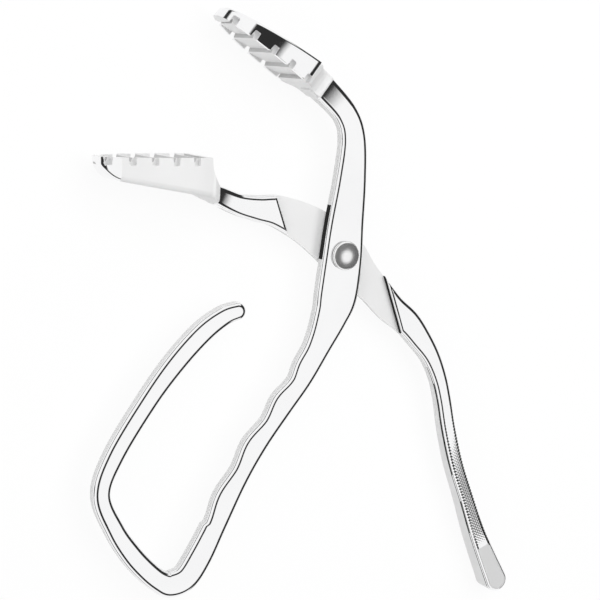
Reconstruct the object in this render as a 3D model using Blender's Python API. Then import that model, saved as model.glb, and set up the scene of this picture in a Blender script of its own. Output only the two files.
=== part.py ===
"""Lobster cracker: two die-cast levers crossed on one domed rivet.

The object lies on its back. The rivet's axis is Z and the origin is the middle of its flat tail, with
the jaws on the -X side. The front lever lies wholly in front of the rear one's seat and carries the
upper jaw, the finger grip and the knuckle guard. The rear lever is cut down where the front one crosses
it, and carries the lower jaw and the tapered handle. It is modelled with the jaws wide open.
"""

import math

import bmesh
import bpy
from mathutils import Vector

MM = 0.001

# Levers
FRONT_THICKNESS = 4.8 * MM
REAR_THICKNESS = 5.3 * MM
RECESS_DEPTH = 2.4 * MM  # from the rear lever's face down to the seat that the front lever crosses
LAP_GAP = 0.3 * MM
EDGE_RADIUS = 0.9 * MM

NECK_WIDTH = 8.4 * MM
NECK_RISE = 1.9 * MM  # the front face climbs this far towards the upper jaw
PANEL_RISE = 1.4 * MM
PIVOT_WIDTH = 14.4 * MM
WAIST_WIDTH = 8.2 * MM
GRIP_WIDTH = 7.7 * MM
BEND_WIDTH = 8.8 * MM
GUARD_WIDTH = 6.6 * MM
GUARD_END_WIDTH = 5.8 * MM

PANEL_WIDTH = 7.6 * MM
LAP_WIDTH = 15.0 * MM
HANDLE_ROOT_WIDTH = 9.4 * MM
HANDLE_WIDTH = 5.3 * MM
HANDLE_END_WIDTH = 8.0 * MM

# The seat in the rear lever is a straight slot across it, centred on the rivet
SEAT_HALF_WIDTH = 13.3 * MM
SEAT_ANGLE = math.radians(111)

# Finger scallops along the inside of the front grip
SCALLOP_DEPTH = 1.3 * MM
FINGER_PITCH = 15.0 * MM
FINGER_GROWTH = 1.9 * MM  # each finger's place is this much longer than the one before
FIRST_CREST = 100.5 * MM  # along the spine from the upper jaw's root
CREST_COUNT = 4

# Jaws. Distances run outward from the foot of the rivet's perpendicular on the tooth line.
UPPER_JAW_ANGLE = math.radians(145.4)
OPENING = math.radians(36.5)
UPPER_LINE = 33.4 * MM  # from the rivet's axis to the tooth line
LOWER_LINE = 32.1 * MM
UPPER_ROOT = 48.2 * MM
LOWER_ROOT = 49.9 * MM
UPPER_LENGTH = 34.2 * MM
LOWER_LENGTH = 34.9 * MM
JAW_WIDTH = 23.6 * MM
JAW_RISE = 2.3 * MM  # height of the jaws' middle plane above the front lever's back
UPPER_DEPTH = 8.6 * MM
UPPER_TIP_DEPTH = 4.4 * MM
UPPER_BOW = 0.07  # share of the jaw's length over which its keel turns up to the rim
LOWER_DEPTH = 12.2 * MM
LOWER_TIP_DEPTH = 7.0 * MM
LOWER_BOW = 0.2
JAW_CORNER = 2.6 * MM
JAW_WALL = 1.7 * MM
COLLAR_HALF_WIDTH = 5.0 * MM

TOOTH_COUNT = 5
UPPER_TOOTH_PITCH = 7.2 * MM
LOWER_TOOTH_PITCH = 6.9 * MM
UPPER_FIRST_TOOTH = 0.4 * MM  # from the jaw's root to the first tooth's steep face
LOWER_FIRST_TOOTH = 4.8 * MM
NOTCH_LIMIT = 29.0 * MM  # no notch starts further out than this, so both bows stay whole
TOOTH_HEIGHT = 1.5 * MM
TOOTH_FACE = 0.35 * MM  # how far the steep face leans over its height
CREST_DROP = 0.15 * MM  # teeth stay this far under the jaw's rims
NOTCH_DEPTH = 2.4 * MM
NOTCH_FLOOR = 2.4 * MM
NOTCH_STEEP = 0.5 * MM
NOTCH_SLOPE = 1.4 * MM

# Rivet
SHANK_RADIUS = 2.5 * MM
RUNNING_CLEARANCE = 0.05 * MM
SEAT_GAP = 0.3 * MM
HEAD_RADIUS = 4.7 * MM
HEAD_SIDE = 1.3 * MM
DOME_HEIGHT = 1.7 * MM
TAIL_RADIUS = 4.0 * MM
TAIL_HEIGHT = 1.3 * MM
TAIL_FLAT = 2.6 * MM
ROUND_SIDES = 45

# Heights above the rivet's flat tail
REAR_BACK = TAIL_HEIGHT + SEAT_GAP
REAR_FACE = REAR_BACK + REAR_THICKNESS
SEAT_FACE = REAR_FACE - RECESS_DEPTH
FRONT_BACK = SEAT_FACE + LAP_GAP
FRONT_FACE = FRONT_BACK + FRONT_THICKNESS
JAW_CENTRE = FRONT_BACK + JAW_RISE
HOLE_RADIUS = SHANK_RADIUS + RUNNING_CLEARANCE


def clear_scene():
    for obj in list(bpy.data.objects):
        bpy.data.objects.remove(obj, do_unlink=True)


def chrome(name, roughness):
    material = bpy.data.materials.new(name)
    material.use_nodes = True
    shader = material.node_tree.nodes["Principled BSDF"]
    shader.inputs["Base Color"].default_value = (0.82, 0.82, 0.84, 1)
    shader.inputs["Metallic"].default_value = 1
    shader.inputs["Roughness"].default_value = roughness
    return material


def object_of(name, mesh_maker, material=None):
    """A new object whose mesh is what the maker leaves in a bmesh, facing out."""
    mesh = bpy.data.meshes.new(name)
    shape = bmesh.new()
    mesh_maker(shape)
    bmesh.ops.recalc_face_normals(shape, faces=shape.faces)
    shape.to_mesh(mesh)
    shape.free()
    mesh.shade_smooth()
    mesh.set_sharp_from_angle(angle=math.radians(30))
    obj = bpy.data.objects.new(name, mesh)
    bpy.context.scene.collection.objects.link(obj)
    if material:
        mesh.materials.append(material)
    return obj


def combine(target, tool, operation):
    """Adds a Boolean to the target and keeps its tool out of the finished object."""
    tool.hide_render = True
    tool.display_type = "WIRE"
    modifier = target.modifiers.new(tool.name, "BOOLEAN")
    modifier.operation = operation
    modifier.object = tool
    modifier.solver = "EXACT"


def curve_through(stations, steps):
    """Rows of a smooth curve through the stations, which carry the same values as they do."""
    count = len(stations)
    rows = []
    for i in range(count - 1):
        before = stations[max(i - 1, 0)]
        start = stations[i]
        end = stations[i + 1]
        after = stations[min(i + 2, count - 1)]
        for step in range(steps):
            t = step / steps
            rows.append(
                tuple(
                    0.5 * (2 * b + (c - a) * t + (2 * a - 5 * b + 4 * c - d) * t**2
                           + (3 * b - a - 3 * c + d) * t**3)
                    for a, b, c, d in zip(before, start, end, after)
                )
            )
    rows.append(tuple(stations[-1]))
    return rows


def normals_of(rows):
    """The unit normal on the left of the curve at each of its points."""
    found = []
    for i in range(len(rows)):
        x0, y0 = rows[max(i - 1, 0)][:2]
        x1, y1 = rows[min(i + 1, len(rows) - 1)][:2]
        length = math.hypot(x1 - x0, y1 - y0)
        found.append(((y0 - y1) / length, (x1 - x0) / length))
    return found


def travelled(rows):
    """The distance along the curve at each of its points."""
    total = 0
    found = [0]
    for (x0, y0, *_), (x1, y1, *_) in zip(rows, rows[1:]):
        total += math.hypot(x1 - x0, y1 - y0)
        found.append(total)
    return found


def scallop(distance):
    """How far the grip's inner edge stands in or out between the fingers, as a rounded wave."""
    crest = FIRST_CREST
    pitch = FINGER_PITCH
    first_trough = crest - pitch / 2
    if distance < first_trough:
        return 0
    for _ in range(CREST_COUNT):
        if distance < crest + pitch / 2:
            wave = math.cos(2 * math.pi * (distance - crest) / pitch)
            fade = min(1, (distance - first_trough) / pitch)
            return SCALLOP_DEPTH / 2 * wave * fade
        crest += pitch
        pitch += FINGER_GROWTH
    return 0


def section_lines(width, wave, bottom, top, radius, corner_sides=2):
    """A bar's section as (side, half width, inset, height) rows: down its left side, then up its right."""
    radius = min(radius, width * 0.35)
    corner = [math.pi / 2 * i / corner_sides for i in range(corner_sides + 1)]
    upper = [(radius * (1 - math.sin(angle)), top - radius * (1 - math.cos(angle))) for angle in corner]
    lower = [(inset, bottom + top - height) for inset, height in reversed(upper)]
    left = [(1, width / 2, inset, height) for inset, height in upper + lower]
    right = [(-1, width / 2 + wave, inset, height) for inset, height in reversed(upper + lower)]
    return left + right


def bar(rows, bottom, radius, inner_wave=None, end_sides=6):
    """A maker for a bar along a curve of (x, y, width, top) rows, with rounded edges and a rounded end."""
    normals = normals_of(rows)
    along = travelled(rows)
    turns = [0.0] * len(rows) + [math.pi / 2 * i / end_sides for i in range(1, end_sides + 1)]

    def make(shape):
        last_places = None
        rings = []
        for number, turn in enumerate(turns):
            row = min(number, len(rows) - 1)
            x, y, width, top = rows[row]
            nx, ny = normals[row]
            tangent = Vector((ny, -nx))
            normal = Vector((nx, ny))
            wave = inner_wave(along[row]) if inner_wave else 0
            places = []
            for side, half, inset, height in section_lines(width, wave, bottom, top, radius):
                reach = half - inset
                flat = Vector((x, y)) + normal * (side * reach * math.cos(turn))
                flat += tangent * (reach * math.sin(turn))
                places.append((flat, height))
            if last_places:
                # Inside a tight bend an edge would double back, so there it waits at its last place
                for i, (flat, height) in enumerate(places):
                    before = last_places[i][0]
                    if (flat - before).dot(tangent) < 0.02 * MM and turn == 0:
                        places[i] = (before, height)
            last_places = places
            rings.append([shape.verts.new((flat.x, flat.y, height)) for flat, height in places])
        count = len(rings[0])
        for ring, following in zip(rings, rings[1:]):
            for i in range(count):
                j = (i + 1) % count
                shape.faces.new((ring[i], ring[j], following[j], following[i]))
        shape.faces.new(reversed(rings[0]))
        bmesh.ops.remove_doubles(shape, verts=shape.verts, dist=0.005 * MM)

    return make


def turned(profile, sides=ROUND_SIDES):
    """A maker for a solid of revolution about Z. The profile is (radius, height) points, upwards."""

    def make(shape):
        verts = [shape.verts.new((radius, 0, height)) for radius, height in profile]
        edges = [shape.edges.new(pair) for pair in zip(verts, verts[1:])]
        bmesh.ops.spin(
            shape, geom=verts + edges, axis=(0, 0, 1), cent=(0, 0, 0), angle=2 * math.pi, steps=sides
        )
        bmesh.ops.remove_doubles(shape, verts=shape.verts, dist=1e-6)
        open_rim = [edge for edge in shape.edges if edge.is_boundary]
        if open_rim:
            bmesh.ops.contextual_create(shape, geom=open_rim)

    return make


def loft(sections):
    """A maker for the closed skin through these rings of points, which all have the same count."""

    def make(shape):
        rings = [[shape.verts.new(point) for point in section] for section in sections]
        for ring, following in zip(rings, rings[1:]):
            for i in range(len(ring)):
                j = (i + 1) % len(ring)
                shape.faces.new((ring[i], ring[j], following[j], following[i]))
        shape.faces.new(reversed(rings[0]))
        shape.faces.new(rings[-1])

    return make


class Jaw:
    """One jaw's own frame: s runs outward along the tooth line, v out of the mouth, z along the rivet."""

    def __init__(self, angle, turn, line, root, length, depth, tip_depth, bow, first_tooth, pitch):
        self.along = Vector((math.cos(angle), math.sin(angle)))
        self.mouth = Vector((-turn * self.along.y, turn * self.along.x))
        self.foot = self.mouth * (-turn * line)
        self.root = root
        self.length = length
        self.tip = root + length
        self.depth = depth
        self.tip_depth = tip_depth
        self.bow = bow
        self.teeth = [root + first_tooth + i * pitch for i in range(TOOTH_COUNT)]
        self.pitch = pitch

    def point(self, s, v, z=0.0):
        flat = self.foot + self.along * s + self.mouth * v
        return (flat.x, flat.y, z)

    def half_width(self, s):
        """The leaf shape seen from the mouth: nearly parallel at the root, closing to a rounded bow."""
        t = min(max((s - self.root) / self.length, 0), 0.9985)
        root_taper = 0.1 * max(0, 1 - t / 0.35) ** 2
        return JAW_WIDTH / 2 * math.sqrt(1 - t**2.8) * (1 - root_taper)

    def floor(self, s):
        """The hull's bottom: a straight keel that turns up over the bow to meet the rim."""
        t = min(max((s - self.root) / self.length, 0), 1)
        keel = self.depth + (self.tip_depth - self.depth) * t / 0.87
        rise = math.sqrt(max(0.01, 1 - max(0, (t - 1 + self.bow) / self.bow) ** 2))
        return -keel * rise


UPPER = Jaw(
    UPPER_JAW_ANGLE, 1, UPPER_LINE, UPPER_ROOT, UPPER_LENGTH, UPPER_DEPTH,
    UPPER_TIP_DEPTH, UPPER_BOW, UPPER_FIRST_TOOTH, UPPER_TOOTH_PITCH,
)
LOWER = Jaw(
    UPPER_JAW_ANGLE + OPENING, -1, LOWER_LINE, LOWER_ROOT, LOWER_LENGTH, LOWER_DEPTH,
    LOWER_TIP_DEPTH, LOWER_BOW, LOWER_FIRST_TOOTH, LOWER_TOOTH_PITCH,
)


def jaw_section(jaw, s, half, top, bottom, middle, corner=JAW_CORNER, corner_sides=3):
    """A ring across a jaw: flat on the mouth side, upright sides and rounded corners at the back."""
    corner = min(corner, half * 0.6, (top - bottom) * 0.4)
    side = []
    for i in range(corner_sides + 1):
        angle = math.pi / 2 * i / corner_sides
        side.append((half - corner + corner * math.cos(angle), bottom + corner - corner * math.sin(angle)))
    near = [(half, top)] + side
    far = [(-z, v) for z, v in reversed(near)]
    return [jaw.point(s, v, middle + z) for z, v in near + far]


def jaw_body(jaw, shoulder):
    """The solid jaw: its shoulder's own sections, then the shoe that carries the teeth."""
    sections = [jaw_section(jaw, s, half, top, bottom, middle) for s, half, top, bottom, middle in shoulder]
    shares = (0, 0.1, 0.25, 0.4, 0.55, 0.67, 0.77, 0.85, 0.91, 0.955, 0.985, 1)
    for share in shares:
        s = jaw.root + jaw.length * share
        sections.append(jaw_section(jaw, s, jaw.half_width(s), 0, jaw.floor(s), JAW_CENTRE))
    return loft(sections)


def tooth_cutter(jaw):
    """What is cut out between the walls to leave a row of saw teeth that bite towards the root."""
    profile = [(jaw.teeth[0] - jaw.pitch + TOOTH_FACE, -TOOTH_HEIGHT)]
    for tooth in jaw.teeth:
        profile.append((tooth, -CREST_DROP))
        profile.append((tooth + TOOTH_FACE, -TOOTH_HEIGHT))
    profile.append((max(jaw.teeth[-1] + TOOTH_FACE, jaw.tip - 2.5 * JAW_WALL) + 0.6 * MM, -TOOTH_HEIGHT * 0.7))
    inside = [point for point in profile if jaw.root + JAW_WALL < point[0]]
    start = jaw.root + JAW_WALL
    if start < inside[0][0]:
        first = next(i for i, point in enumerate(profile) if point == inside[0])
        (s0, v0), (s1, v1) = profile[first - 1], profile[first]
        inside.insert(0, (start, v0 + (v1 - v0) * (start - s0) / (s1 - s0)))
    finer = []
    for (s0, v0), (s1, v1) in zip(inside, inside[1:]):
        parts = 3 if s1 - s0 > 2 * TOOTH_FACE else 1
        finer.extend((s0 + (s1 - s0) * i / parts, v0 + (v1 - v0) * i / parts) for i in range(parts))
    finer.append(inside[-1])
    sections = []
    for s, v in finer:
        half = jaw.half_width(s) - JAW_WALL
        ring = [(half, TOOTH_HEIGHT), (half, v), (-half, v), (-half, TOOTH_HEIGHT)]
        sections.append([jaw.point(s, height, JAW_CENTRE + z) for z, height in ring])
    return loft(sections)


def notch_cutter(jaw, tooth, side):
    """One notch through a wall, in line with a tooth's steep face."""
    inner = jaw.half_width(tooth + NOTCH_FLOOR) - JAW_WALL - 0.4 * MM
    outer = JAW_WIDTH
    profile = [
        (tooth - NOTCH_STEEP * 0.4, TOOTH_HEIGHT),
        (tooth + NOTCH_STEEP, -NOTCH_DEPTH),
        (tooth + NOTCH_STEEP + NOTCH_FLOOR, -NOTCH_DEPTH),
        (tooth + NOTCH_STEEP + NOTCH_FLOOR + NOTCH_SLOPE * 1.6, TOOTH_HEIGHT),
    ]
    return loft([[jaw.point(s, v, JAW_CENTRE + side * z) for s, v in profile] for z in (inner, outer)])


def toothed_jaw(name, jaw, shoulder):
    body = object_of(name, jaw_body(jaw, shoulder))
    combine(body, object_of(name + "_teeth", tooth_cutter(jaw)), "DIFFERENCE")
    notched = [tooth for tooth in jaw.teeth if tooth < jaw.root + NOTCH_LIMIT]
    for number, tooth in enumerate(notched, 1):
        for side, label in ((1, "near"), (-1, "far")):
            cutter = object_of(f"{name}_{label}_notch_{number}", notch_cutter(jaw, tooth, side))
            combine(body, cutter, "DIFFERENCE")
    return body


def upper_shoulder():
    """The front lever's neck flaring into the upper jaw."""
    middle = (FRONT_BACK + FRONT_FACE) / 2
    neck = FRONT_THICKNESS / 2 - 0.2 * MM
    half = UPPER.half_width(UPPER_ROOT)
    steps = ((-10.2, neck, -1.4), (-9.4, neck + 0.2 * MM, -0.9), (-8.8, COLLAR_HALF_WIDTH, -0.5),
             (-5.2, COLLAR_HALF_WIDTH + 0.3 * MM, -0.4), (-3.4, 6.9 * MM, -0.4), (-1.8, 9.4 * MM, -0.3),
             (-0.5, half - 0.4 * MM, -0.2))
    found = []
    for offset, width, top in steps:
        bottom = top * MM - (UPPER_DEPTH - 0.5 * MM) * (0.93 if width < COLLAR_HALF_WIDTH else 0.98)
        found.append((UPPER_ROOT + offset * MM, width, top * MM, bottom, middle))
    return found


def lower_shoulder():
    """The rear lever's panel flaring into the back of the lower jaw, under its root."""
    middle = (REAR_FACE + REAR_BACK) / 2
    neck = REAR_THICKNESS / 2 - 0.2 * MM
    half = LOWER.half_width(LOWER_ROOT)
    steps = ((-6.4, neck, -10.2, -15.2, 0.0), (-5.2, neck + 1.0 * MM, -9.9, -15.0, 0.2),
             (-4.2, 6.4 * MM, -9.5, -14.6, 0.6), (-3.2, 9.4 * MM, -8.9, -14.1, 0.9),
             (-2.2, half - 0.6 * MM, -7.7, -13.5, 1.0), (-1.2, half, -6.0, -13.0, 1.0),
             (-0.5, half, -4.2, -12.6, 1.0), (-0.15, half, -2.6, -12.4, 1.0))
    found = []
    for offset, width, top, bottom, share in steps:
        s = LOWER_ROOT + offset * MM
        found.append((s, width, top * MM, bottom * MM, middle + (JAW_CENTRE - middle) * share))
    return found


def front_spine():
    """Stations of the front lever from inside the upper jaw to the guard's free end: x, y, width, top."""
    start = UPPER.point(UPPER_ROOT - 4.0 * MM, -UPPER_DEPTH / 2)
    collar = UPPER.point(UPPER_ROOT - 9.5 * MM, -UPPER_DEPTH / 2)
    body = (
        (-2.2, 45.5, NECK_WIDTH * 0.96),
        (1.0, 37.6, NECK_WIDTH * 1.06),
        (1.1, 24.5, NECK_WIDTH * 1.3),
        (0.1, 9.5, PIVOT_WIDTH * 0.91),
        (-0.4, -2.0, PIVOT_WIDTH),
        (-1.5, -13.6, PIVOT_WIDTH),
        (-3.4, -20.6, PIVOT_WIDTH * 0.84),
        (-7.0, -29.5, WAIST_WIDTH * 1.13),
        (-12.4, -39.9, WAIST_WIDTH),
        (-18.8, -49.4, GRIP_WIDTH),
        (-26.5, -60.8, GRIP_WIDTH * 0.98),
        (-33.1, -72.5, GRIP_WIDTH),
        (-39.6, -86.7, GRIP_WIDTH * 1.05),
        (-44.7, -97.5, GRIP_WIDTH * 1.15),
        (-49.0, -104.2, BEND_WIDTH),
        (-54.0, -106.2, BEND_WIDTH * 0.97),
        (-57.8, -105.0, BEND_WIDTH * 0.84),
        (-62.5, -101.3, GUARD_WIDTH * 1.09),
        (-68.0, -95.5, GUARD_WIDTH * 1.06),
        (-73.7, -87.4, GUARD_WIDTH * 0.96),
        (-78.6, -76.1, GUARD_WIDTH * 0.9),
        (-74.9, -63.8, GUARD_WIDTH * 0.98),
        (-64.8, -46.6, GUARD_WIDTH),
        (-56.2, -34.6, GUARD_WIDTH * 1.07),
        (-47.7, -25.2, GUARD_WIDTH * 1.07),
        (-40.8, -20.0, GUARD_WIDTH * 0.97),
        (-36.2, -18.3, GUARD_END_WIDTH),
    )
    rises = [NECK_RISE * 1.2, NECK_RISE, NECK_RISE * 0.15] + [0] * (len(body) - 1)
    flat = [(start[0], start[1], NECK_WIDTH), (collar[0], collar[1], NECK_WIDTH)]
    flat.extend((x * MM, y * MM, width) for x, y, width in body)
    return [(x, y, width, FRONT_FACE + rise) for (x, y, width), rise in zip(flat, rises)]


def rear_spine():
    """Stations of the rear lever from inside the lower jaw to the handle's end: x, y, width, top."""
    start = LOWER.point(LOWER_ROOT - 1.0 * MM, -10.4 * MM)
    neck = LOWER.point(LOWER_ROOT - 6.6 * MM, -12.6 * MM)
    body = (
        (-36.3, 15.3, PANEL_WIDTH * 0.92),
        (-29.5, 14.1, PANEL_WIDTH * 1.1),
        (-22.5, 13.3, PANEL_WIDTH * 1.36),
        (-13.0, 9.8, LAP_WIDTH * 0.85),
        (-5.0, 5.2, LAP_WIDTH * 0.97),
        (2.5, -0.8, LAP_WIDTH),
        (9.0, -7.0, LAP_WIDTH * 0.8),
        (13.7, -11.3, LAP_WIDTH * 0.7),
        (20.2, -17.7, HANDLE_ROOT_WIDTH * 1.03),
        (26.6, -22.4, HANDLE_ROOT_WIDTH * 0.95),
        (31.6, -27.9, HANDLE_ROOT_WIDTH * 0.84),
        (36.3, -34.0, HANDLE_WIDTH * 1.2),
        (39.9, -41.2, HANDLE_WIDTH * 1.05),
        (42.3, -48.6, HANDLE_WIDTH),
        (44.9, -59.1, HANDLE_WIDTH),
        (48.7, -71.2, HANDLE_WIDTH),
        (53.8, -83.4, HANDLE_WIDTH),
        (59.6, -97.0, HANDLE_WIDTH * 1.15),
        (67.9, -113.0, HANDLE_END_WIDTH),
    )
    rises = [PANEL_RISE * 1.2, PANEL_RISE, PANEL_RISE * 0.15] + [0] * (len(body) - 1)
    flat = [(start[0], start[1], PANEL_WIDTH * 0.6), (neck[0], neck[1], PANEL_WIDTH * 0.82)]
    flat.extend((x * MM, y * MM, width) for x, y, width in body)
    return [(x, y, width, REAR_FACE + rise) for (x, y, width), rise in zip(flat, rises)]


def rivet_hole(name):
    hole = ((0, -REAR_THICKNESS * 2), (HOLE_RADIUS, -REAR_THICKNESS * 2),
            (HOLE_RADIUS, FRONT_FACE * 2), (0, FRONT_FACE * 2))
    return object_of(name, turned(hole))


def front_lever(material):
    rows = curve_through(front_spine(), 5)
    lever = object_of("front_lever", bar(rows, FRONT_BACK, EDGE_RADIUS, scallop), material)
    combine(lever, toothed_jaw("upper_jaw", UPPER, upper_shoulder()), "UNION")
    combine(lever, rivet_hole("front_hole"), "DIFFERENCE")
    return lever


def seat_cutter():
    """A slot across the rear lever, down to the seat that the front lever turns on."""
    along = Vector((math.cos(SEAT_ANGLE), math.sin(SEAT_ANGLE)))
    across = Vector((along.y, -along.x))
    reach = LAP_WIDTH * 3
    levels = (
        (SEAT_FACE, 0),
        (REAR_FACE - EDGE_RADIUS, 0),
        (REAR_FACE - EDGE_RADIUS * 0.3, EDGE_RADIUS * 0.3),
        (REAR_FACE, EDGE_RADIUS),
        (FRONT_FACE * 2, EDGE_RADIUS * 3),
    )
    sections = []
    for height, extra in levels:
        ring = [
            across * ((SEAT_HALF_WIDTH + extra) * side) + along * (reach * end)
            for side, end in ((-1, -1), (1, -1), (1, 1), (-1, 1))
        ]
        sections.append([(corner.x, corner.y, height) for corner in ring])
    return object_of("seat_cutter", loft(sections))


def rear_lever(material):
    rows = curve_through(rear_spine(), 5)
    lever = object_of("rear_lever", bar(rows, REAR_BACK, EDGE_RADIUS), material)
    combine(lever, toothed_jaw("lower_jaw", LOWER, lower_shoulder()), "UNION")
    combine(lever, seat_cutter(), "DIFFERENCE")
    combine(lever, rivet_hole("rear_hole"), "DIFFERENCE")
    return lever


def pivot_rivet(material):
    """Low cheese head with a dome in front, shank through both levers, peened tail behind."""
    head = FRONT_FACE + SEAT_GAP
    profile = []
    for i in range(4):
        angle = math.pi / 2 * i / 4
        radius = TAIL_FLAT + (TAIL_RADIUS - TAIL_FLAT) * math.sin(angle)
        profile.append((radius, TAIL_HEIGHT * (1 - math.cos(angle))))
    profile.append((TAIL_RADIUS, TAIL_HEIGHT))
    profile.append((SHANK_RADIUS, TAIL_HEIGHT))
    profile.append((SHANK_RADIUS, head))
    profile.append((HEAD_RADIUS, head))
    for i in range(7):
        angle = math.pi / 2 * i / 7
        radius = HEAD_RADIUS * 0.97 * math.cos(angle)
        profile.append((radius, head + HEAD_SIDE + DOME_HEIGHT * math.sin(angle)))
    profile.append((0, head + HEAD_SIDE + DOME_HEIGHT))
    return object_of("pivot_rivet", turned(profile), material)


def main():
    clear_scene()
    front_lever(chrome("front_chrome", 0.08))
    rear_lever(chrome("rear_chrome", 0.1))
    pivot_rivet(chrome("rivet_chrome", 0.06))


main()
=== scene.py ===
import math

import bpy
from mathutils import Matrix, Vector


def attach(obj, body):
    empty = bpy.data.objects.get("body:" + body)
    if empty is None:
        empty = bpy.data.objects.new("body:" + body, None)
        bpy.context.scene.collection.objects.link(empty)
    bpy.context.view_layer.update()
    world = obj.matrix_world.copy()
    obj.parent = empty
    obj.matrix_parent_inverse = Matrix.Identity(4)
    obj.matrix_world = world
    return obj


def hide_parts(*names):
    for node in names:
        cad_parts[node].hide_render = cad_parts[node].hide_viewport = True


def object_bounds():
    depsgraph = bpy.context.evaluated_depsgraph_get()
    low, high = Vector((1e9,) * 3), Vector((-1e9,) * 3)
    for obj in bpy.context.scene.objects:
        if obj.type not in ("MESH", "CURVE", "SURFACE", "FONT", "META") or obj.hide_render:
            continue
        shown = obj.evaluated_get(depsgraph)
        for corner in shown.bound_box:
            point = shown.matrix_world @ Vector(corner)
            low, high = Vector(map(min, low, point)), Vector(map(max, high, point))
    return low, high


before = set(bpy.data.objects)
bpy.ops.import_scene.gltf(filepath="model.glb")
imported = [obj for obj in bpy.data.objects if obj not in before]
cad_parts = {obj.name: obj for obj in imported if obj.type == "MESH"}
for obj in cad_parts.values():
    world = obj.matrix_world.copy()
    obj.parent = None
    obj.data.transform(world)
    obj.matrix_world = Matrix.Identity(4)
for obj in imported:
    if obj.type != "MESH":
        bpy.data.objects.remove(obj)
cadLow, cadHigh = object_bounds()
print("frame loaded:", sorted(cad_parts))

# Shapes below are worked out in millimetres, with heights above the rivet's flat tail
metres = 0.001
heights = {
    "rearBack": 1.6,
    "seat": 4.5,
    "frontBack": 4.8,
    "rearFace": 6.9,
    "jawMiddle": 7.1,
    "frontFace": 9.6,
}
edges = {
    "drop": 1.3,  # height of the rounding along both levers
    "spread": 1.6,  # its width
    "seatDrop": 0.6,
    "seatSpread": 1.2,
    "hold": 0.12,  # a line this far beside each rounding keeps the flats flat
    "steps": 7,
    "endSteps": 14,
    "rowSteps": 12,
}


def selectOnly(obj):
    if bpy.context.mode != "OBJECT":
        bpy.ops.object.mode_set(mode="OBJECT")
    bpy.ops.object.select_all(action="DESELECT")
    obj.select_set(True)
    bpy.context.view_layer.objects.active = obj


def skinRings(name, rings):
    # a grid is added, rolled into a tube through the rings, then welded and closed
    bpy.ops.object.select_all(action="DESELECT")
    bpy.ops.mesh.primitive_grid_add(x_subdivisions=len(rings[0]), y_subdivisions=len(rings) - 1, size=1)
    skin = bpy.context.object
    skin.name = name
    places = [value * metres for ring in rings for point in list(ring) + [ring[0]] for value in point]
    skin.data.vertices.foreach_set("co", places)
    bpy.ops.object.mode_set(mode="EDIT")
    bpy.ops.mesh.select_all(action="SELECT")
    bpy.ops.mesh.remove_doubles(threshold=0.002 * metres)
    bpy.ops.mesh.fill_holes(sides=0)
    bpy.ops.mesh.select_all(action="SELECT")
    bpy.ops.mesh.normals_make_consistent(inside=False)
    bpy.ops.object.mode_set(mode="OBJECT")
    return skin


def applyModifier(obj, kind, **values):
    selectOnly(obj)
    modifier = obj.modifiers.new(kind.lower(), kind)
    for key, value in values.items():
        setattr(modifier, key, value)
    bpy.ops.object.modifier_apply(modifier=modifier.name)


def combine(obj, other, operation):
    applyModifier(obj, "BOOLEAN", operation=operation, object=other, solver="EXACT")
    bpy.data.objects.remove(other, do_unlink=True)


def smoothRows(stations, steps):
    # Catmull-Rom rows through the stations, with every value carried along
    rows = []
    last = len(stations) - 1
    for i in range(last):
        a, b = stations[max(i - 1, 0)], stations[i]
        c, d = stations[i + 1], stations[min(i + 2, last)]
        for step in range(steps):
            t = step / steps
            rows.append(tuple(
                0.5 * (2 * q + (r - p) * t + (2 * p - 5 * q + 4 * r - s) * t**2
                       + (3 * q - p - 3 * r + s) * t**3)
                for p, q, r, s in zip(a, b, c, d)
            ))
    rows.append(tuple(stations[last]))
    return rows


def leftNormals(rows):
    found = []
    for i in range(len(rows)):
        back, ahead = rows[max(i - 1, 0)], rows[min(i + 1, len(rows) - 1)]
        run = Vector((ahead[0] - back[0], ahead[1] - back[1])).normalized()
        found.append(Vector((-run.y, run.x)))
    return found


def distances(rows):
    found = [0.0]
    for a, b in zip(rows, rows[1:]):
        found.append(found[-1] + math.hypot(b[0] - a[0], b[1] - a[1]))
    return found


def barSection(width, extra, bottom, top):
    # (side, half width, inset, height): down the left side, then up the right one
    drop, spread, hold = edges["drop"], min(edges["spread"], width * 0.38), edges["hold"]
    angles = [math.pi / 2 * i / edges["steps"] for i in range(edges["steps"] + 1)]
    upper = [(spread + hold, top)]
    upper += [(spread * (1 - math.sin(a)), top - drop * (1 - math.cos(a))) for a in angles]
    upper.append((0, top - drop - hold))
    lower = [(inset, bottom + top - height) for inset, height in reversed(upper)]
    left = [(1, width / 2, inset, height) for inset, height in upper + lower]
    right = [(-1, width / 2 + extra, inset, height) for inset, height in reversed(upper + lower)]
    return left + right


def layBar(name, stations, wave=None):
    # a flat bar along the stations, with rounded edges and a rounded far end
    rows = smoothRows(stations, edges["rowSteps"])
    normals, along = leftNormals(rows), distances(rows)
    ends = [math.pi / 2 * i / edges["endSteps"] for i in range(1, edges["endSteps"] + 1)]
    rings, before = [], None
    for number, turn in enumerate([0.0] * len(rows) + ends):
        row = min(number, len(rows) - 1)
        x, y, width, top, bottom = rows[row]
        normal = normals[row]
        run = Vector((normal.y, -normal.x))
        ring = []
        for side, half, inset, height in barSection(width, wave(along[row]) if wave else 0, bottom, top):
            reach = half - inset
            flat = Vector((x, y)) + normal * (side * reach * math.cos(turn))
            ring.append((flat + run * (reach * math.sin(turn)), height))
        if before and turn == 0:  # an edge waits inside a tight bend instead of doubling back
            for i, (flat, height) in enumerate(ring):
                if (flat - before[i][0]).dot(run) < 0.01:
                    ring[i] = (before[i][0], height)
        before = ring
        rings.append([(flat.x, flat.y, height) for flat, height in ring])
    return skinRings(name, rings)


# jaws: s runs outward along the tooth line, v out of the mouth

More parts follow.
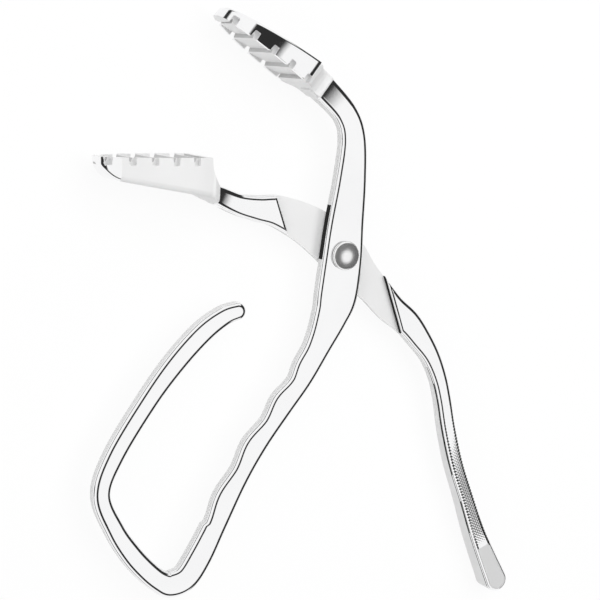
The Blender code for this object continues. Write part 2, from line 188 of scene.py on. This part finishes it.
jawShape = {
    "width": 23.54,
    "wall": 1.7,
    "toothHeight": 1.5,
    "notchDepth": 2.4,
    "notchWidth": 2.0,
    "edge": 0.16,  # small rounding of every edge that was cut
    "collarHalfWidth": 5.0,
    "fullness": 2.8,  # a higher value gives a blunter jaw, seen from the mouth
    "rootTaper": 0.08,  # how much narrower the jaw is at its root
    "taperShare": 0.35,  # and the share of its length that this takes
    "keelShare": 0.87,  # the depth changes evenly up to here
    "rings": 40,
}
upperJaw = {
    "angle": math.radians(145.4), "turn": 1, "line": 33.4, "root": 48.2, "length": 33.6,
    "depth": 8.2, "tipDepth": 4.2, "bow": 0.04, "corner": 0.9, "firstTooth": 0.4, "pitch": 7.2,
}
lowerJaw = {
    "angle": math.radians(181.9), "turn": -1, "line": 32.1, "root": 49.9, "length": 34.9,
    "depth": 12.2, "tipDepth": 7.0, "bow": 0.2, "corner": 2.0, "firstTooth": 5.0, "pitch": 6.65,
}
toothCount = 5
toothCrest = [(-1.6, -0.34), (-0.5, -0.12), (-0.1, -0.16), (0, -0.32)]  # up the gentle face to the steep one


def jawPoint(jaw, s, v, z):
    along = Vector((math.cos(jaw["angle"]), math.sin(jaw["angle"])))
    mouth = Vector((-along.y, along.x)) * jaw["turn"]
    flat = mouth * (-jaw["turn"] * jaw["line"] + v) + along * s
    return (flat.x, flat.y, z)


def jawHalfWidth(jaw, s):
    t = min(max((s - jaw["root"]) / jaw["length"], 0), 0.9985)
    rootTaper = jawShape["rootTaper"] * max(0, 1 - t / jawShape["taperShare"]) ** 2
    return jawShape["width"] / 2 * math.sqrt(1 - t ** jawShape["fullness"]) * (1 - rootTaper)


def jawFloor(jaw, s):
    t = min(max((s - jaw["root"]) / jaw["length"], 0), 1)
    keel = jaw["depth"] + (jaw["tipDepth"] - jaw["depth"]) * t / jawShape["keelShare"]
    return -keel * math.sqrt(max(0.01, 1 - max(0, (t - 1 + jaw["bow"]) / jaw["bow"]) ** 2))


def jawRing(jaw, s, half, top, bottom, middle):
    corner = min(jaw["corner"], half * 0.6, (top - bottom) * 0.4)
    side = [(half, top), (half, top - 0.15), (half, (top + bottom + corner) / 2)]
    for i in range(9):
        angle = math.pi / 2 * i / 8
        side.append((half - corner + corner * math.cos(angle), bottom + corner - corner * math.sin(angle)))
    return [jawPoint(jaw, s, v, middle + z) for z, v in side + [(-z, v) for z, v in reversed(side)]]


def toothPlaces(jaw):
    return [jaw["root"] + jaw["firstTooth"] + jaw["pitch"] * i for i in range(toothCount)]


def toothRings(jaw):
    # what is cut away between the walls: a row of saw teeth that bite towards the root
    teeth, height, wall = toothPlaces(jaw), jawShape["toothHeight"], jawShape["wall"]
    profile = [(teeth[0] - jaw["pitch"] + 0.6, -height)]
    for tooth in teeth:
        profile += [(tooth + s, v) for s, v in toothCrest]
        profile += [(tooth + 0.35, -height + 0.1), (tooth + 0.6, -height)]
    end = max(teeth[-1] + 0.35, jaw["root"] + jaw["length"] - 2.5 * wall) + 0.6
    profile = [point for point in profile if point[0] < end] + [(end, -height * 0.7)]
    start = jaw["root"] + wall
    inside = [point for point in profile if point[0] > start]
    before = profile[len(profile) - len(inside) - 1]
    share = (start - before[0]) / (inside[0][0] - before[0])
    inside.insert(0, (start, before[1] + (inside[0][1] - before[1]) * share))
    finer = []
    for (s0, v0), (s1, v1) in zip(inside, inside[1:]):
        parts = max(1, round((s1 - s0) / 0.9))
        finer += [(s0 + (s1 - s0) * i / parts, v0 + (v1 - v0) * i / parts) for i in range(parts)]
    rings = []
    for s, v in finer + [inside[-1]]:
        half = jawHalfWidth(jaw, s) - wall
        ring = [(half, 1.5), (half, v), (-half, v), (-half, 1.5)]
        rings.append([jawPoint(jaw, s, height, heights["jawMiddle"] + z) for z, height in ring])
    return rings


def notchRings(jaw, tooth, side):
    # a narrow notch through one wall, over a tooth's steep face
    half, depth = jawShape["notchWidth"] / 2, jawShape["notchDepth"]
    middle = tooth + 0.3
    inner = max(0.6, jawHalfWidth(jaw, middle) - jawShape["wall"] - 0.4)
    profile = [(middle - half - 0.1, 1.5), (middle - half, -depth + 0.25), (middle - half + 0.25, -depth)]
    profile += [(middle + half - 0.25, -depth), (middle + half, -depth + 0.25), (middle + half + 0.35, 1.5)]
    level = heights["jawMiddle"]
    return [[jawPoint(jaw, s, v, level + side * z) for s, v in profile] for z in (inner, jawShape["width"])]


def makeJaw(name, jaw, shoulder):
    rings = [jawRing(jaw, *row) for row in smoothRows(shoulder, 5)]
    shares = [1 - (1 - i / jawShape["rings"]) ** 1.6 for i in range(jawShape["rings"] + 1)]
    for share in shares:
        s = jaw["root"] + jaw["length"] * share
        rings.append(jawRing(jaw, s, jawHalfWidth(jaw, s), 0, jawFloor(jaw, s), heights["jawMiddle"]))
    body = skinRings(name, rings)
    combine(body, skinRings(name + "Mouth", toothRings(jaw)), "DIFFERENCE")
    for tooth in toothPlaces(jaw):
        for side in (1, -1):
            combine(body, skinRings(name + "Notch", notchRings(jaw, tooth, side)), "DIFFERENCE")
    applyModifier(
        body, "BEVEL", width=jawShape["edge"] * metres, segments=2, limit_method="ANGLE",
        angle_limit=math.radians(38), use_clamp_overlap=True,
    )
    return body


grip = {
    "neckWidth": 8.4, "pivotWidth": 14.4, "waistWidth": 8.2, "gripWidth": 7.7,
    "bendWidth": 8.8, "guardWidth": 6.6, "neckRise": 1.9,
    "scallopDepth": 1.3, "fingerPitch": 15.0, "fingerGrowth": 1.9, "firstCrest": 100.5, "crests": 4,
}


def scallop(distance):
    crest, pitch = grip["firstCrest"], grip["fingerPitch"]
    start = crest - pitch / 2
    for _ in range(grip["crests"]):
        if start <= distance < crest + pitch / 2:
            fade = min(1, (distance - start) / pitch)
            return grip["scallopDepth"] / 2 * math.cos(2 * math.pi * (distance - crest) / pitch) * fade
        crest, pitch = crest + pitch, pitch + grip["fingerGrowth"]
    return 0


def frontStations():
    face, rise = heights["frontFace"], grip["neckRise"]
    neck, pivot, waist = grip["neckWidth"], grip["pivotWidth"], grip["waistWidth"]
    hand, bend, guard = grip["gripWidth"], grip["bendWidth"], grip["guardWidth"]
    start = jawPoint(upperJaw, upperJaw["root"] - 4.0, -upperJaw["depth"] / 2, 0)
    collar = jawPoint(upperJaw, upperJaw["root"] - 9.5, -upperJaw["depth"] / 2, 0)
    stations = [(start[0], start[1], neck, face + rise * 1.8), (collar[0], collar[1], neck, face + rise)]
    stations.append((-2.2, 45.5, neck * 0.96, face + rise * 0.12))
    level = [
        (1.0, 37.6, neck * 1.06), (1.1, 24.5, neck * 1.3), (0.1, 9.5, pivot * 0.91), (-0.4, -2.0, pivot),
        (-1.5, -13.6, pivot), (-3.4, -20.6, pivot * 0.84), (-7.0, -29.5, waist * 1.13),
        (-12.4, -39.9, waist), (-18.8, -49.4, hand), (-26.5, -60.8, hand * 0.98), (-33.1, -72.5, hand),
        (-39.6, -86.7, hand * 1.05), (-44.7, -97.5, hand * 1.15), (-49.0, -104.2, bend),
        (-54.0, -106.2, bend * 0.97), (-57.8, -105.0, bend * 0.84), (-62.5, -101.3, guard * 1.09),
        (-68.0, -95.5, guard * 1.06), (-73.7, -87.4, guard * 0.96), (-78.6, -76.1, guard * 0.9),
        (-74.9, -63.8, guard * 0.98), (-64.8, -46.6, guard), (-56.2, -34.6, guard * 1.07),
        (-47.7, -25.2, guard * 1.07), (-40.8, -20.0, guard * 0.97), (-36.2, -18.3, 5.8),
    ]
    stations += [(x, y, width, face) for x, y, width in level]
    return [station + (heights["frontBack"],) for station in stations]


def upperShoulder():
    middle = (heights["frontBack"] + heights["frontFace"]) / 2
    collar = jawShape["collarHalfWidth"]
    half = jawHalfWidth(upperJaw, upperJaw["root"])
    steps = [
        (-10.2, 2.2, -1.4), (-9.4, 2.4, -0.9), (-8.8, collar, -0.5), (-7.0, collar + 0.1, -0.45),
        (-5.2, collar + 0.3, -0.4), (-3.4, 6.9, -0.4), (-1.8, 9.4, -0.3), (-0.5, half - 0.4, -0.2),
    ]
    rows = []
    for offset, width, top in steps:
        bottom = top - (upperJaw["depth"] - 0.5) * (0.93 if width < collar else 0.98)
        rows.append((upperJaw["root"] + offset, width, top, bottom, middle))
    return rows


rivet = {
    "shank": 2.5, "hole": 2.55, "gap": 0.3, "head": 4.7, "side": 0.3, "shoulder": 0.8,
    "crown": 14.0, "tail": 4.0, "tailHeight": 1.3, "tailFlat": 2.6, "sides": 96,
}


def circle(radius, z):
    turns = [math.tau * i / rivet["sides"] for i in range(rivet["sides"])]
    return [(radius * math.cos(a), radius * math.sin(a), z) for a in turns]


def makeHole(name):
    return skinRings(name, [circle(rivet["hole"], z) for z in (-5, 15)])


def makeFrontLever():
    lever = layBar("frontLever", frontStations(), scallop)
    combine(lever, makeJaw("upperJaw", upperJaw, upperShoulder()), "UNION")
    combine(lever, makeHole("frontHole"), "DIFFERENCE")
    return lever


rear = {
    "panelWidth": 7.6, "lapWidth": 15.0, "handleRoot": 9.4, "handle": 5.3, "handleEnd": 8.0,
    "panelRise": 1.4, "seatLeft": 15.6, "seatRight": 13.3, "seatAngle": math.radians(111),
    "handleDepth": 4.2, "deepFrom": -38, "deepLength": 75, "deepPower": 1.2,  # the handle grows deeper
}


def rearStations():
    face, rise = heights["rearFace"], rear["panelRise"]
    panel, lap, root, handle = rear["panelWidth"], rear["lapWidth"], rear["handleRoot"], rear["handle"]
    start = jawPoint(lowerJaw, lowerJaw["root"] - 1.0, -10.4, 0)
    neck = jawPoint(lowerJaw, lowerJaw["root"] - 6.6, -12.6, 0)
    stations = [(start[0], start[1], panel * 0.6, face + rise * 2.2)]
    stations.append((neck[0], neck[1], panel * 0.82, face + rise))
    stations.append((-36.3, 15.3, panel * 0.92, face + rise * 0.12))
    level = [
        (-29.5, 14.1, panel * 1.1), (-22.5, 13.3, panel * 1.36), (-13.0, 9.8, lap * 0.85),
        (-5.0, 5.2, lap * 0.97), (2.5, -0.8, lap), (9.0, -7.0, lap * 0.8), (13.7, -11.3, lap * 0.7),
        (20.2, -17.7, root * 1.03), (26.6, -22.4, root * 0.95), (31.6, -27.9, root * 0.84),
        (36.3, -34.0, handle * 1.2), (39.9, -41.2, handle * 1.05), (42.3, -48.6, handle),
        (44.9, -59.1, handle), (48.7, -71.2, handle), (53.8, -83.4, handle),
        (59.6, -97.0, handle * 1.15), (67.9, -113.0, rear["handleEnd"]),
    ]
    stations += [(x, y, width, face) for x, y, width in level]
    shares = [max(0, (rear["deepFrom"] - y) / rear["deepLength"]) for x, y, width, top in stations]
    extras = [rear["handleDepth"] * share ** rear["deepPower"] for share in shares]
    return [station + (heights["rearBack"] - extra,) for station, extra in zip(stations, extras)]


def lowerShoulder():
    middle, jaws = (heights["rearFace"] + heights["rearBack"]) / 2, heights["jawMiddle"]
    half = jawHalfWidth(lowerJaw, lowerJaw["root"])
    steps = [
        (-6.4, 2.45, -10.2, -15.2, 0.0), (-5.2, 3.45, -9.9, -15.0, 0.2), (-4.2, 6.4, -9.5, -14.6, 0.6),
        (-3.2, 9.4, -8.9, -14.1, 0.9), (-2.2, half - 0.6, -7.7, -13.5, 1.0), (-1.2, half, -6.0, -13.0, 1.0),
        (-0.5, half, -4.2, -12.6, 1.0), (-0.15, half, -2.6, -12.4, 1.0),
    ]
    return [
        (lowerJaw["root"] + offset, width, top, bottom, middle + (jaws - middle) * share)
        for offset, width, top, bottom, share in steps
    ]


def seatRings():
    # the slot across the rear lever, with its upper edges rounded as the levers' are
    along = Vector((math.cos(rear["seatAngle"]), math.sin(rear["seatAngle"])))
    across = Vector((along.y, -along.x))
    drop, spread, face = edges["seatDrop"], edges["seatSpread"], heights["rearFace"]
    levels = [(heights["seat"], 0)]
    for i in range(7):
        angle = math.pi / 2 * i / 6
        levels.append((face - drop + drop * math.sin(angle), spread * (1 - math.cos(angle))))
    levels.append((heights["frontFace"] * 2, spread * 1.1))
    rings = []
    for height, extra in levels:
        left, right = -rear["seatLeft"] - extra, rear["seatRight"] + extra
        ring = [across * a + along * b for a, b in ((left, -40), (right, -40), (right, 40), (left, 40))]
        rings.append([(point.x, point.y, height) for point in ring])
    return rings


def makeRearLever():
    lever = layBar("rearLever", rearStations())
    combine(lever, makeJaw("lowerJaw", lowerJaw, lowerShoulder()), "UNION")
    combine(lever, skinRings("seat", seatRings()), "DIFFERENCE")
    combine(lever, makeHole("rearHole"), "DIFFERENCE")
    return lever


knurl = {
    "start": -51.0, "end": -100.5, "pitch": 1.1, "height": 0.052, "mainShare": 0.7,
    "fadeIn": 16.0, "fadeOut": 6.0,
    "lean": 28.0,  # over this length it spreads from the right side to the whole face
    "across": 40, "rowSpacing": 0.11, "rootDepth": 0.6,
}


def makeKnurl():
    rows = [row for row in smoothRows(rearStations(), 300) if knurl["end"] < row[1] < knurl["start"]]
    normals, along = leftNormals(rows), distances(rows)
    rings, done = [], -1.0
    for (x, y, width, top, bottom), normal, distance in zip(rows, normals, along):
        if distance < done + knurl["rowSpacing"]:
            continue
        done = distance
        reach = width / 2 - edges["spread"] * 0.3
        fade = min(1, distance / knurl["fadeIn"], (along[-1] - distance) / knurl["fadeOut"])
        lean = min(1, distance / knurl["lean"])
        ring = [(-reach, -knurl["rootDepth"])]
        for i in range(knurl["across"] + 1):
            u = reach * (2 * i / knurl["across"] - 1)
            waves = [math.cos(math.tau * (distance + side * u) / knurl["pitch"]) for side in (1, -1)]
            wave = (1 - knurl["mainShare"]) * waves[0] + knurl["mainShare"] * waves[1]
            share = lean + (1 - lean) * min(1, max(0, u / reach + 0.25))
            over = max(0, abs(u) - (width / 2 - edges["spread"])) / edges["spread"]
            drop = edges["drop"] * (1 - math.sqrt(1 - over**2))
            ring.append((u, knurl["height"] * ((wave + 1) * fade * share + 0.1) - drop))
        ring.append((reach, -knurl["rootDepth"]))
        rings.append([(x + normal.x * u, y + normal.y * u, top + rise) for u, rise in ring])
    return skinRings("handleKnurl", rings)


def makeRivet():
    base = heights["frontFace"] + rivet["gap"]
    profile = [(0.01, 0)]
    for i in range(9):
        angle = math.pi / 2 * i / 8
        radius = rivet["tailFlat"] + (rivet["tail"] - rivet["tailFlat"]) * math.sin(angle)
        profile.append((radius, rivet["tailHeight"] * (1 - math.cos(angle))))
    tailTop = rivet["tailHeight"] + 0.02
    profile += [(rivet["tail"] - 0.05, tailTop), (rivet["shank"], tailTop)]
    profile += [(rivet["shank"], base), (rivet["head"] - 0.15, base), (rivet["head"], base + 0.15)]
    # an upright side turns over a rounded shoulder into a shallow crown
    edge = rivet["head"] - rivet["shoulder"]
    meet = math.asin(edge / (rivet["crown"] - rivet["shoulder"]))
    for i in range(13):
        angle = math.pi / 2 - (math.pi / 2 - meet) * i / 12
        radius = edge + rivet["shoulder"] * math.sin(angle)
        profile.append((radius, base + rivet["side"] + rivet["shoulder"] * math.cos(angle)))
    foot = profile[-1]
    for i in range(1, 15):
        angle = meet * (1 - i / 14)
        rise = rivet["crown"] * (math.cos(angle) - math.cos(meet))
        profile.append((max(0.01, foot[0] * math.sin(angle) / math.sin(meet)), foot[1] + rise))
    return skinRings("rivet", [circle(radius, z) for radius, z in profile])


finishes = {
    "polished": {
        "colour": (0.95, 0.95, 0.955), "metal": 1, "roughness": 0.04, "spread": 0.05, "bump": 0.004,
    },
    "satin": {
        "colour": (0.87, 0.87, 0.87), "metal": 0.15, "roughness": 0.45, "spread": 0.08, "bump": 0.02,
    },
    "cast": {
        "colour": (0.88, 0.88, 0.88), "metal": 0.3, "roughness": 0.45, "spread": 0.1, "bump": 0.04,
    },
    # painted shade: a darker copy of cast for the teeth's steep faces
    "paintedToothShade": {
        "colour": (0.6, 0.6, 0.6), "metal": 0.3, "roughness": 0.45, "spread": 0.1, "bump": 0.04,
    },
    "wall": {
        "colour": (0.8, 0.8, 0.8), "metal": 0.3, "roughness": 0.4, "spread": 0.1, "bump": 0.03,
    },
    # painted shade: a darker copy of cast for the flat face at the handle's end
    "paintedEndShade": {
        "colour": (0.79, 0.79, 0.79), "metal": 0.3, "roughness": 0.45, "spread": 0.1, "bump": 0.04,
    },
    "rivetSteel": {
        "colour": (0.96, 0.96, 0.96), "metal": 0.88, "roughness": 0.19, "spread": 0.04, "bump": 0.01,
    },
    # painted shade: a near-black finish laid on the walls that stand over the seat slot
    "paintedSlotShade": {
        "colour": (0.02, 0.02, 0.02), "metal": 0, "roughness": 0.6, "spread": 0.1, "bump": 0.02,
    },
}


surface = {
    "cloudScale": 60,  # slow changes left by buffing and handling
    "cloudDetail": 3,
    "grainScale": 900,  # fine orange peel under the plating
    "grainDetail": 2,
    "grainDepth": 0.0005,
    "tint": 0.94,
}


def makeFinish(name, colour, metal, roughness, spread, bump):
    material = bpy.data.materials.new(name)
    material.use_nodes = True
    nodes, links = material.node_tree.nodes, material.node_tree.links
    shader = nodes["Principled BSDF"]
    shader.inputs["Metallic"].default_value = metal
    shader.inputs["Specular IOR Level"].default_value = 0.5 if metal else 0.05
    place = nodes.new("ShaderNodeTexCoord")
    cloud = nodes.new("ShaderNodeTexNoise")
    cloud.inputs["Scale"].default_value = surface["cloudScale"]
    cloud.inputs["Detail"].default_value = surface["cloudDetail"]
    grain = nodes.new("ShaderNodeTexNoise")
    grain.inputs["Scale"].default_value = surface["grainScale"]
    grain.inputs["Detail"].default_value = surface["grainDetail"]
    for texture in (cloud, grain):
        links.new(place.outputs["Object"], texture.inputs["Vector"])
    gloss = nodes.new("ShaderNodeMapRange")
    gloss.inputs["From Min"].default_value = 0.35
    gloss.inputs["From Max"].default_value = 0.7
    gloss.inputs["To Min"].default_value = roughness
    gloss.inputs["To Max"].default_value = roughness + spread
    links.new(cloud.outputs["Fac"], gloss.inputs["Value"])
    links.new(gloss.outputs["Result"], shader.inputs["Roughness"])
    tint = nodes.new("ShaderNodeMix")
    tint.data_type = "RGBA"
    tint.inputs["A"].default_value = (*colour, 1)
    tint.inputs["B"].default_value = (*[value * surface["tint"] for value in colour], 1)
    links.new(cloud.outputs["Fac"], tint.inputs["Factor"])
    links.new(tint.outputs["Result"], shader.inputs["Base Color"])
    relief = nodes.new("ShaderNodeBump")
    relief.inputs["Strength"].default_value = bump
    relief.inputs["Distance"].default_value = surface["grainDepth"]
    links.new(grain.outputs["Fac"], relief.inputs["Height"])
    links.new(relief.outputs["Normal"], shader.inputs["Normal"])
    return material


materials = {name: makeFinish(name, **values) for name, values in finishes.items()}


def dress(obj, body, node, finishNames, chooser=None):
    selectOnly(obj)
    obj.data.materials.clear()
    for finishName in finishNames:
        obj.data.materials.append(materials[finishName])
    if chooser:
        for face in obj.data.polygons:
            face.material_index = finishNames.index(chooser(face.center / metres, face.normal))
    bpy.ops.object.shade_smooth_by_angle(angle=math.radians(32), keep_sharp_edges=False)
    applyModifier(obj, "WEIGHTED_NORMAL", keep_sharp=True, weight=80)
    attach(obj, body)
    if node:
        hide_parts(node)


def jawCoordinates(jaw, place):
    along = Vector((math.cos(jaw["angle"]), math.sin(jaw["angle"])))
    mouth = Vector((-along.y, along.x)) * jaw["turn"]
    flat = Vector((place.x, place.y))
    return flat.dot(along), flat.dot(mouth) + jaw["turn"] * jaw["line"]


def insideMouth(jaw, place):
    s, v = jawCoordinates(jaw, place)
    half = jawHalfWidth(jaw, s) - jawShape["wall"] + 0.05
    deep = -jawShape["notchDepth"] - 0.1 < v < 0.5
    return jaw["root"] < s and deep and abs(place.z - heights["jawMiddle"]) < half


def mouthFinish(jaw, place, normal):
    # the teeth's steep faces get a darker copy of the cast finish, as painted shade
    if not insideMouth(jaw, place):
        return None
    along = Vector((math.cos(jaw["angle"]), math.sin(jaw["angle"]), 0))
    return "paintedToothShade" if normal.dot(along) > 0.6 else "cast"


dressing = {
    "collarLength": 8.9,
    "paintedShadeWall": (-1.8, 15.8),  # the stretch along y where the front lever's wall stands over the seat; the wall there is painted near-black as painted shade
    "satinShare": 0.82,  # how far out the lower jaw is satin
    "upright": 0.25,  # a wall's normal has less z than this
}


def frontFinish(place, normal):
    found = mouthFinish(upperJaw, place, normal)
    if found:
        return found
    s, v = jawCoordinates(upperJaw, place)
    collarStart = upperJaw["root"] - dressing["collarLength"]
    if collarStart < s < upperJaw["root"] - 0.1 and abs(v) < 9:
        return "satin"
    # the front lever's left wall over the seat is painted near-black, as painted shade
    first, last = dressing["paintedShadeWall"]
    if first < place.y < last and place.x < -2 and normal.x < -0.95:
        return "paintedSlotShade"
    return "wall" if s < collarStart and abs(normal.z) < dressing["upright"] else "polished"


def rearFinish(place, normal):
    found = mouthFinish(lowerJaw, place, normal)
    if found:
        return found
    # the seat's step wall is painted near-black, as painted shade
    onStep = heights["seat"] < place.z < heights["rearFace"] - edges["seatDrop"]
    if onStep and place.x > 5 and normal.x < -0.85:
        return "paintedSlotShade"
    s, v = jawCoordinates(lowerJaw, place)
    satinEnd = lowerJaw["root"] + lowerJaw["length"] * dressing["satinShare"]
    onJaw = lowerJaw["root"] - 5 < s < satinEnd and abs(v) < 16
    onSeat = abs(place.z - heights["seat"]) < 0.02
    # the flat face at the handle's end gets a darker copy of cast, as painted shade
    if place.y < knurl["end"] + 1 and normal.z > 0.95:
        return "paintedEndShade"
    if onJaw or onSeat:
        return "satin"
    return "wall" if s < lowerJaw["root"] - 8 and abs(normal.z) < dressing["upright"] else "polished"


leverFinishes = ["polished", "cast", "paintedToothShade", "paintedSlotShade", "satin", "paintedEndShade", "wall"]
frontLever = makeFrontLever()
print("front lever made")
rearLever = makeRearLever()
print("rear lever made")
handleKnurl = makeKnurl()
rivetPiece = makeRivet()
print("knurl and rivet made")
dress(frontLever, "front", "front_lever", leverFinishes, frontFinish)
dress(rearLever, "rear", "rear_lever", leverFinishes, rearFinish)
dress(handleKnurl, "rear", None, ["polished"])
dress(rivetPiece, "front", "pivot_rivet", ["rivetSteel"])


studio = {
    "floorSize": 3.0,
    "floorColour": (0.93, 0.93, 0.93, 1),
    "floorGlow": 0.9,
    "tent": 1.0,  # the white tent, as the metal sees it
    "dark": 0.03,
    "softbox": (0.42, -0.125, 0.9),  # the front faces mirror this way
    "frame": (16.5, 44.0),  # the dark frame round the softbox, in degrees from its middle
    "flag": (-0.95, -0.16, 0.25),
    "flagSize": 9.0,
    "rightSide": (0.62, 0.72),  # dark past these values of x
    "leftStrip": (0.2, 0.3),  # dark below these values of z
    "leftReach": (-0.5, 0.0),  # and left of these values of x
}


def makeFloor():
    bpy.ops.object.select_all(action="DESELECT")
    bpy.ops.mesh.primitive_plane_add(size=studio["floorSize"])
    floor = bpy.context.object
    floor.name = "floor"
    floor.location.z = cadLow.z - 0.0003
    material = bpy.data.materials.new("floorPaper")
    material.use_nodes = True
    nodes, links = material.node_tree.nodes, material.node_tree.links
    nodes["Principled BSDF"].inputs["Base Color"].default_value = studio["floorColour"]
    nodes["Principled BSDF"].inputs["Roughness"].default_value = 0.9
    glow = nodes.new("ShaderNodeEmission")
    blend = nodes.new("ShaderNodeMixShader")
    # the camera, the metal and anything clear see white paper that keeps the object's shadow
    light = nodes.new("ShaderNodeLightPath")
    seen = light.outputs["Is Camera Ray"]
    for ray in ("Is Glossy Ray", "Is Transmission Ray"):
        either = nodes.new("ShaderNodeMath")
        either.operation = "MAXIMUM"
        links.new(seen, either.inputs[0])
        links.new(light.outputs[ray], either.inputs[1])
        seen = either.outputs[0]
    share = nodes.new("ShaderNodeMath")
    share.operation = "MULTIPLY"
    share.inputs[1].default_value = studio["floorGlow"]
    links.new(seen, share.inputs[0])
    links.new(share.outputs[0], blend.inputs["Fac"])
    links.new(nodes["Principled BSDF"].outputs[0], blend.inputs[1])
    links.new(glow.outputs[0], blend.inputs[2])
    links.new(blend.outputs[0], nodes["Material Output"].inputs["Surface"])
    floor.data.materials.append(material)


def makeWorld():
    world = bpy.data.worlds.new("studio")
    bpy.context.scene.world = world
    world.use_nodes = True
    nodes, links = world.node_tree.nodes, world.node_tree.links

    def compute(operation, a, b):
        node = nodes.new("ShaderNodeMath")
        node.operation = operation
        for socket, value in zip(node.inputs, (a, b)):
            if isinstance(value, (int, float)):
                socket.default_value = value
            else:
                links.new(value, socket)
        return node.outputs[0]

    def ramp(value, low, high):
        node = nodes.new("ShaderNodeMapRange")
        node.interpolation_type = "SMOOTHSTEP"
        node.inputs["From Min"].default_value = low
        node.inputs["From Max"].default_value = high
        links.new(value, node.inputs["Value"])
        return node.outputs["Result"]

    place = nodes.new("ShaderNodeTexCoord")
    split = nodes.new("ShaderNodeSeparateXYZ")
    links.new(place.outputs["Generated"], split.inputs[0])
    x, z = split.outputs["X"], split.outputs["Z"]

    def near(direction, inner, outer):
        # 1 within the inner angle of a direction, 0 past the outer one
        facing = nodes.new("ShaderNodeVectorMath")
        facing.operation = "DOT_PRODUCT"
        links.new(place.outputs["Generated"], facing.inputs[0])
        facing.inputs[1].default_value = Vector(direction).normalized()
        return ramp(facing.outputs["Value"], math.cos(math.radians(outer)), math.cos(math.radians(inner)))

    # the dark parts, which the metal mirrors as lines beside its roundings
    inner, outer = studio["frame"]
    wholeFrame = near(studio["softbox"], outer - 1.5, outer + 1.5)
    frameShade = compute("SUBTRACT", wholeFrame, near(studio["softbox"], inner - 3, inner + 2))
    flag = near(studio["flag"], studio["flagSize"] - 1, studio["flagSize"] + 1)
    right = ramp(x, *studio["rightSide"])
    lowPart = compute("SUBTRACT", 1, ramp(z, *studio["leftStrip"]))
    left = compute("MULTIPLY", lowPart, compute("SUBTRACT", 1, ramp(x, *studio["leftReach"])))
    shade = compute("MAXIMUM", compute("MAXIMUM", frameShade, flag), compute("MAXIMUM", right, left))
    lit = compute("MULTIPLY", compute("SUBTRACT", 1, shade), studio["tent"])
    glow = compute("MAXIMUM", lit, studio["dark"])
    light = nodes.new("ShaderNodeLightPath")
    seen = nodes.new("ShaderNodeMix")
    seen.data_type = "FLOAT"
    clear = compute("MAXIMUM", light.outputs["Is Camera Ray"], light.outputs["Is Transmission Ray"])
    links.new(clear, seen.inputs["Factor"])
    links.new(glow, seen.inputs["A"])
    seen.inputs["B"].default_value = 1.0
    background = nodes["Background"]
    background.inputs["Color"].default_value = (1, 1, 1, 1)
    links.new(seen.outputs["Result"], background.inputs["Strength"])


lamp = {"size": 0.9, "energy": 6.5, "place": (0.15, 0.3, 0.9)}


def makeLamp():
    data = bpy.data.lights.new("softbox", "AREA")
    data.size = lamp["size"]
    data.energy = lamp["energy"]
    holder = bpy.data.objects.new("softbox", data)
    bpy.context.scene.collection.objects.link(holder)
    holder.location = lamp["place"]
    holder.rotation_euler = (Vector((0, 0, 0)) - holder.location).to_track_quat("-Z", "Y").to_euler()
    holder.visible_glossy = False


camera = {
    "place": (-0.26946, 0.06127, 0.5538),
    "right": (0.907467, 0.057939, 0.416109),
    "up": (0.0, 0.990445, -0.137910),
    "back": (-0.420124, 0.125149, 0.898796),
    "lens": 113.4,
}


def makeCamera():
    data = bpy.data.cameras.new("view")
    data.sensor_width = 36
    data.lens = camera["lens"]
    data.clip_start = 0.01
    holder = bpy.data.objects.new("view", data)
    bpy.context.scene.collection.objects.link(holder)
    turn = Matrix((camera["right"], camera["up"], camera["back"])).transposed()
    holder.matrix_world = Matrix.Translation(camera["place"]) @ turn.to_4x4()
    bpy.context.scene.camera = holder


makeFloor()
makeWorld()
makeLamp()
makeCamera()
bpy.context.scene.view_settings.view_transform = "Standard"
print("stage set")
